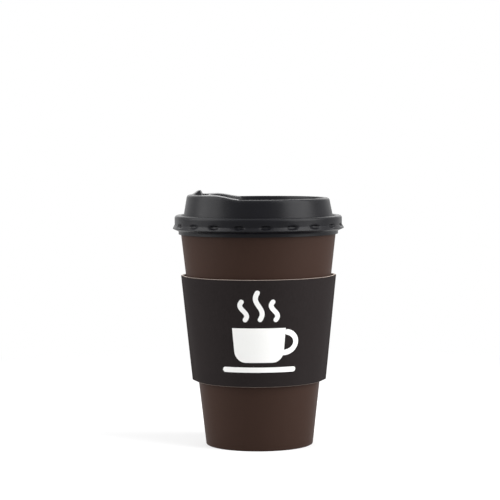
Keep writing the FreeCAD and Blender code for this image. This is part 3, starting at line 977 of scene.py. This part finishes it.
# %% Openings of the lid
SLOT_RADIUS = 28.65
SLOT_LENGTH = 14.0
SLOT_WIDTH = 3.6
VENT_PLACE = 24.0
VENT_RADIUS = 0.7
PUNCH_POINTS = 64
PUNCH_FROM = DECK - 3
PUNCH_TO = LID_TOP + 8
HAIR = 0.003 * MM
LID_SHARP = math.radians(38)


def prism(name, outline, low, high):
    """An upright prism over an outline: the outline at a low and at a high level, closed at both."""
    count = len(outline)
    ends = [np.column_stack([outline, np.full(count, level)]) for level in (low, high)]
    sides = grid_quads(2, count)
    caps = np.stack([np.arange(count)[::-1], np.arange(count) + count])
    return make_piece(name, np.concatenate(ends), [sides, caps])


# The slot is a circle whose two halves are pulled apart, and the vent is a plain circle.
turn = (np.arange(PUNCH_POINTS) + 0.5) * 2 * np.pi / PUNCH_POINTS
circle = np.stack([np.cos(turn), np.sin(turn)], axis=-1)
slot = SLOT_WIDTH / 2 * circle
slot[:, 1] += np.sign(circle[:, 1]) * SLOT_LENGTH / 2
slot[:, 0] -= SLOT_RADIUS
vent = VENT_RADIUS * circle
vent[:, 0] += VENT_PLACE
for name, outline in (("slot_punch", slot), ("vent_punch", vent)):
    punch = prism(name, outline, PUNCH_FROM, PUNCH_TO)
    cutter = lid_shell.modifiers.new(name, "BOOLEAN")
    cutter.operation = "DIFFERENCE"
    cutter.solver = "EXACT"
    cutter.object = punch
    bpy.context.view_layer.update()
    evaluated = lid_shell.evaluated_get(bpy.context.evaluated_depsgraph_get())
    cut_mesh = bpy.data.meshes.new_from_object(evaluated)
    lid_shell.modifiers.remove(cutter)
    lid_shell.data = cut_mesh
    bpy.data.objects.remove(punch)

# Where a punch crosses the grid, two corners can lie a hair apart: they are merged.
cut = bmesh.new()
cut.from_mesh(lid_shell.data)
bmesh.ops.remove_doubles(cut, verts=cut.verts, dist=HAIR)
cut.to_mesh(lid_shell.data)
cut.free()
lid_shell.data.set_sharp_from_angle(angle=LID_SHARP)
lid_shell.data.materials.clear()
lid_shell.data.materials.append(lid_finish)
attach(lid_shell, "lid")
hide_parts("lid")
print("lid faces after punching:", len(lid_shell.data.polygons))

# %% [markdown]
# Floor and background
#
# The cup stands on a pale floor that runs into a white background. Light Path tells what a surface
# is being asked for: a look by the camera, by a gloss or through something clear, or plain light for
# the object. The world is white for a look and a faint grey as light, so that the two side lamps
# give the shape its shading. The floor is a matt grey, which takes the soft shadow under the cup. For
# a look it is lifted until it is nearly white near the foot, and further out it fades to pure white,
# so no line shows where it ends.

# %% Floor
FLOOR_SIZE = 6.0
FLOOR_GREY = 0.5
FLOOR_LIFT = 0.46
FLOOR_NEAR = 0.15
FLOOR_FAR = 0.45


def looked_at(tree):
    """1 for a look by the camera, by a gloss or through something clear, and 0 for plain light: the
    largest of three numbers that Light Path gives."""
    path = tree.nodes.new("ShaderNodeLightPath")
    seen = math_node(tree, "MAXIMUM", path.outputs["Is Camera Ray"], path.outputs["Is Glossy Ray"])
    return math_node(tree, "MAXIMUM", seen, path.outputs["Is Transmission Ray"])


bpy.ops.mesh.primitive_plane_add(size=FLOOR_SIZE, location=(0, 0, 0))
floor = bpy.context.object
floor.name = "floor"
floor_finish = bpy.data.materials.new("pale_floor")
floor_finish.use_nodes = True
tree = floor_finish.node_tree
tree.nodes.clear()
seen = looked_at(tree)

# Near the foot: matt grey, with a glow added for a look.
matt = tree.nodes.new("ShaderNodeBsdfDiffuse")
matt.inputs["Color"].default_value = (FLOOR_GREY, FLOOR_GREY, FLOOR_GREY, 1)
lift = tree.nodes.new("ShaderNodeEmission")
tree.links.new(math_node(tree, "MULTIPLY", seen, FLOOR_LIFT), lift.inputs["Strength"])
near_floor = tree.nodes.new("ShaderNodeAddShader")
tree.links.new(matt.outputs[0], near_floor.inputs[0])
tree.links.new(lift.outputs[0], near_floor.inputs[1])

# Further out: pure white for a look, by a soft step of the distance from the cup's axis.
distance = tree.nodes.new("ShaderNodeVectorMath")
distance.operation = "LENGTH"
tree.links.new(object_place(tree), distance.inputs[0])
far = tree.nodes.new("ShaderNodeMapRange")
far.interpolation_type = "SMOOTHSTEP"
far.inputs["From Min"].default_value = FLOOR_NEAR
far.inputs["From Max"].default_value = FLOOR_FAR
tree.links.new(distance.outputs["Value"], far.inputs["Value"])
white = tree.nodes.new("ShaderNodeEmission")
floor_mix = tree.nodes.new("ShaderNodeMixShader")
tree.links.new(math_node(tree, "MULTIPLY", seen, far.outputs["Result"]), floor_mix.inputs[0])
tree.links.new(near_floor.outputs[0], floor_mix.inputs[1])
tree.links.new(white.outputs[0], floor_mix.inputs[2])
output = tree.nodes.new("ShaderNodeOutputMaterial")
tree.links.new(floor_mix.outputs[0], output.inputs["Surface"])
floor.data.materials.append(floor_finish)
print("floor", FLOOR_SIZE, "m wide, pure white from", FLOOR_FAR, "m out")

# %% World
AMBIENT = 0.08

world = bpy.data.worlds.new("studio")
bpy.context.scene.world = world
world.use_nodes = True
tree = world.node_tree
background = tree.nodes["Background"]
background.inputs["Color"].default_value = (1, 1, 1, 1)
strength = varied(tree, AMBIENT, 1 - AMBIENT, looked_at(tree))
tree.links.new(strength, background.inputs["Strength"])
print("ambient light", AMBIENT)

# %% [markdown]
# Lamps
#
# Two tall soft lamps stand left and right of the cup. Each leaves an upright band of light on the
# round wall, and the middle between them stays darker. On a round body a band shows where the
# surface looks halfway between the camera and the lamp, so a lamp at 82 degrees from the camera
# leaves its band at about 41 degrees. A weak lamp above lights the top of the lid, and one behind,
# as white as the background, keeps the back from being dark.

# %% Lamps
AIM_HEIGHT = 0.07


def soft_lamp(name, bearing, height, distance, size, watts):
    """An area lamp at a bearing from the camera's side (degrees, to the right), turned to the cup:
    it stands at distance * (sin, -cos) of the bearing and looks at the middle of the cup's height."""
    data = bpy.data.lights.new(name, "AREA")
    data.shape = "RECTANGLE"
    data.size, data.size_y = size
    data.energy = watts
    lamp = bpy.data.objects.new(name, data)
    bpy.context.scene.collection.objects.link(lamp)
    turn = math.radians(bearing)
    lamp.location = (distance * math.sin(turn), -distance * math.cos(turn), height)
    aim = lamp.location.copy()
    aim.z -= AIM_HEIGHT
    lamp.rotation_euler = aim.to_track_quat("Z", "Y").to_euler()


soft_lamp("left_lamp", bearing=-82, height=0.62, distance=0.9, size=(0.95, 1.2), watts=16.5)
soft_lamp("right_lamp", bearing=68, height=0.62, distance=0.9, size=(0.85, 1.2), watts=22.0)
soft_lamp("top_lamp", bearing=20, height=1.2, distance=0.25, size=(0.7, 0.7), watts=2.0)
soft_lamp("back_lamp", bearing=180, height=0.75, distance=0.9, size=(1.2, 1.2), watts=5.0)

# %% [markdown]
# Camera
#
# The picture is taken from some way off with a long lens, a little above the lid. The camera stands
# at a distance and a height, and three small turns point it: down, sideways and about its own axis.
# Those five numbers, with the lens, place the cup in the frame.

# %% Camera
CAMERA_DISTANCE = 1.026
CAMERA_HEIGHT = 0.1673
CAMERA_PITCH = math.radians(3.41)
CAMERA_YAW = math.radians(0.257)
CAMERA_ROLL = math.radians(-0.375)
LENS = 135.5

camera_data = bpy.data.cameras.new("camera")
camera_data.lens = LENS
camera_data.sensor_width = 36.0
camera = bpy.data.objects.new("camera", camera_data)
bpy.context.scene.collection.objects.link(camera)
turned = (
    Matrix.Rotation(CAMERA_YAW, 4, "Z")
    @ Matrix.Rotation(math.pi / 2 - CAMERA_PITCH, 4, "X")
    @ Matrix.Rotation(CAMERA_ROLL, 4, "Z")
)
camera.matrix_world = Matrix.Translation((0, -CAMERA_DISTANCE, CAMERA_HEIGHT)) @ turned
bpy.context.scene.camera = camera
bpy.context.scene.view_settings.view_transform = "Standard"
print("camera at", [round(v, 4) for v in camera.location])
